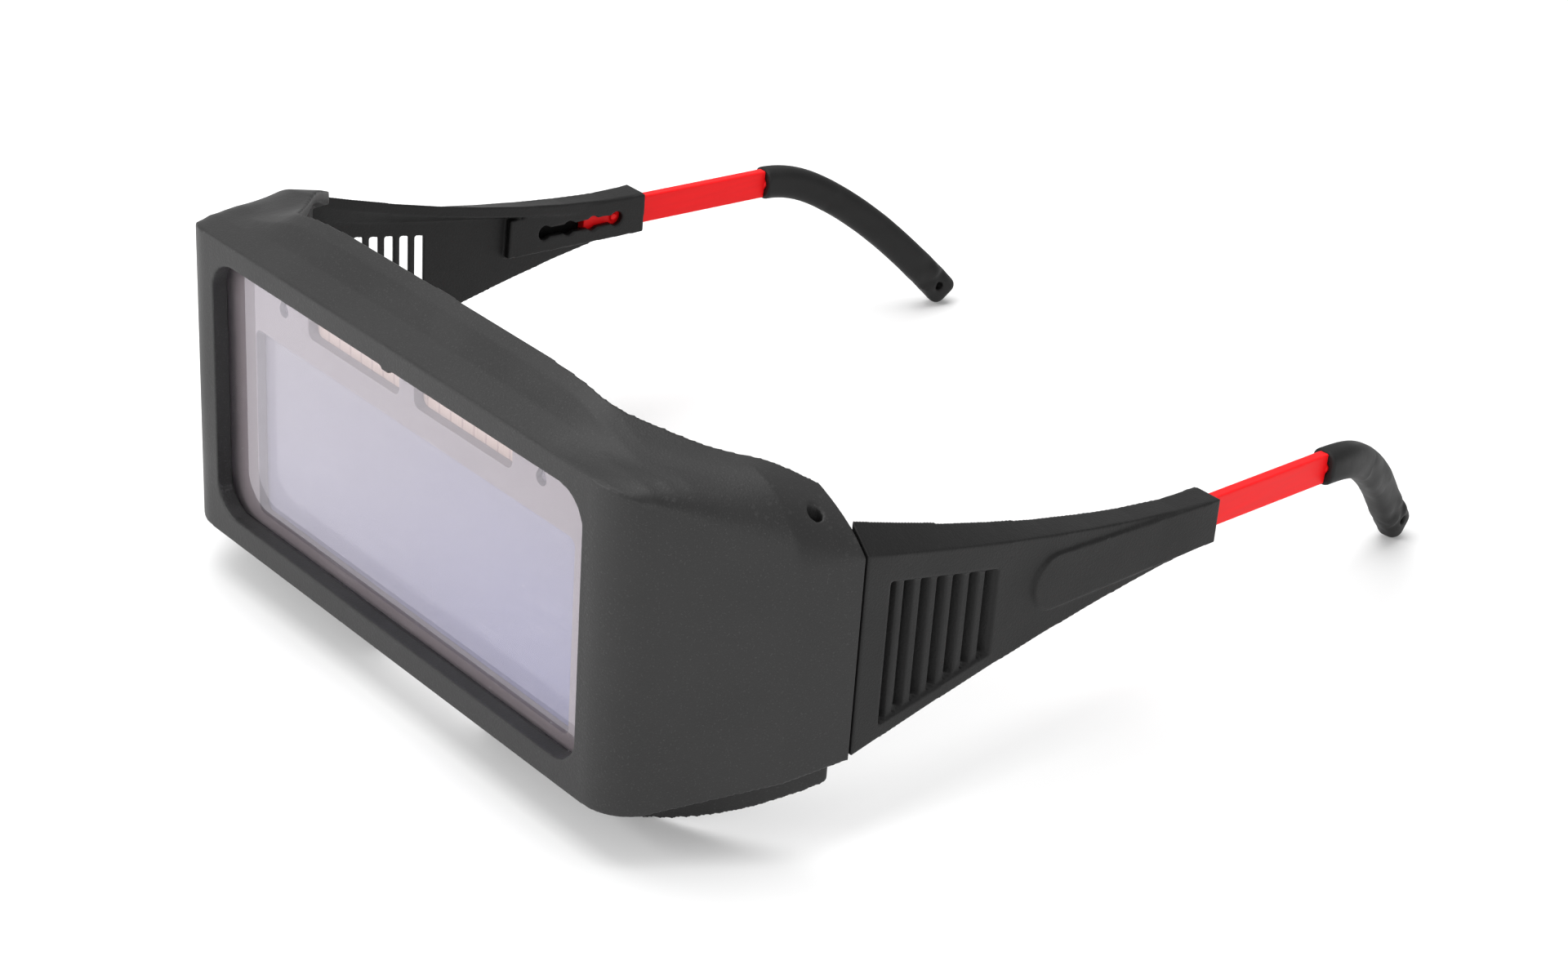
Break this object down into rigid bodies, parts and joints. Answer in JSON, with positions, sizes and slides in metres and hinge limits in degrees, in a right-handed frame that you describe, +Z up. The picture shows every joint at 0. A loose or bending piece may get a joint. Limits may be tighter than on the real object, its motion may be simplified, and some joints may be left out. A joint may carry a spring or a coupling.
{
  "type": "welding goggles",
  "caption": "Auto-darkening welding goggles: wrap-round frame with a solar-powered filter cassette, folding vented temples, telescopic sliders and rubber ear hooks.",
  "frame": {"origin": "on the plane the goggles rest on, under the centre of the bounding box; the front face is 96.3 mm in front of it", "axes": "+X to the wearer's left and across the face, +Y rearward along the temples, +Z up"},
  "size_m": [0.1576, 0.1925, 0.0739],
  "materials": {
    "frame_plastic": "fine moulded texture, black nylon",
    "clear_cover": "clear polycarbonate",
    "cassette_plastic": "mauve-grey moulding",
    "filter_glass": "coated, bluish lavender reflection",
    "lcd_glass": "liquid crystal cell with polarisers",
    "solar_cell": "amorphous cell with fine lines",
    "sensor": "dark photodiode lens",
    "board": "solder mask",
    "component": "moulded packages",
    "pin_steel": "plain steel pin",
    "slider_plastic": "satin red",
    "hook_rubber": "soft matte rubber"
  },
  "bodies": {
    "frame": {"front_frame": "frame_plastic", "front_cover_plate": "clear_cover", "cassette_front": "cassette_plastic", "cassette_rear": "cassette_plastic", "uv_ir_filter": "filter_glass", "lcd_cell_front": "lcd_glass", "lcd_cell_rear": "lcd_glass", "solar_cell_left": "solar_cell", "solar_cell_right": "solar_cell", "arc_sensor_left": "sensor", "arc_sensor_right": "sensor", "circuit_board": "board", "board_components": "component", "inner_cover_plate": "clear_cover", "retaining_frame": "frame_plastic", "hinge_pin_left": "pin_steel", "hinge_pin_right": "pin_steel"},
    "temple_left": {"temple_left": "frame_plastic"},
    "temple_right": {"temple_right": "frame_plastic"},
    "slider_left": {"slider_left": "slider_plastic", "ear_hook_left": "hook_rubber"},
    "slider_right": {"slider_right": "slider_plastic", "ear_hook_right": "hook_rubber"}
  },
  "joints": [
    {"name": "temple_left_fold", "type": "hinge", "parent": "frame", "child": "temple_left", "pos_m": [0.0698, -0.0673, 0.0365], "axis": [0, 0, 1], "range_deg": [0, 60]},
    {"name": "temple_right_fold", "type": "hinge", "parent": "frame", "child": "temple_right", "pos_m": [-0.0698, -0.0673, 0.0365], "axis": [0, 0, -1], "range_deg": [0, 20]},
    {"name": "slider_left_slide", "type": "slide", "parent": "temple_left", "child": "slider_left", "axis": [-0.0306, 0.998, -0.0551], "range_m": [-0.0174, 0]},
    {"name": "slider_right_slide", "type": "slide", "parent": "temple_right", "child": "slider_right", "axis": [0.0306, 0.998, -0.0551], "range_m": [-0.0174, 0]}
  ]
}
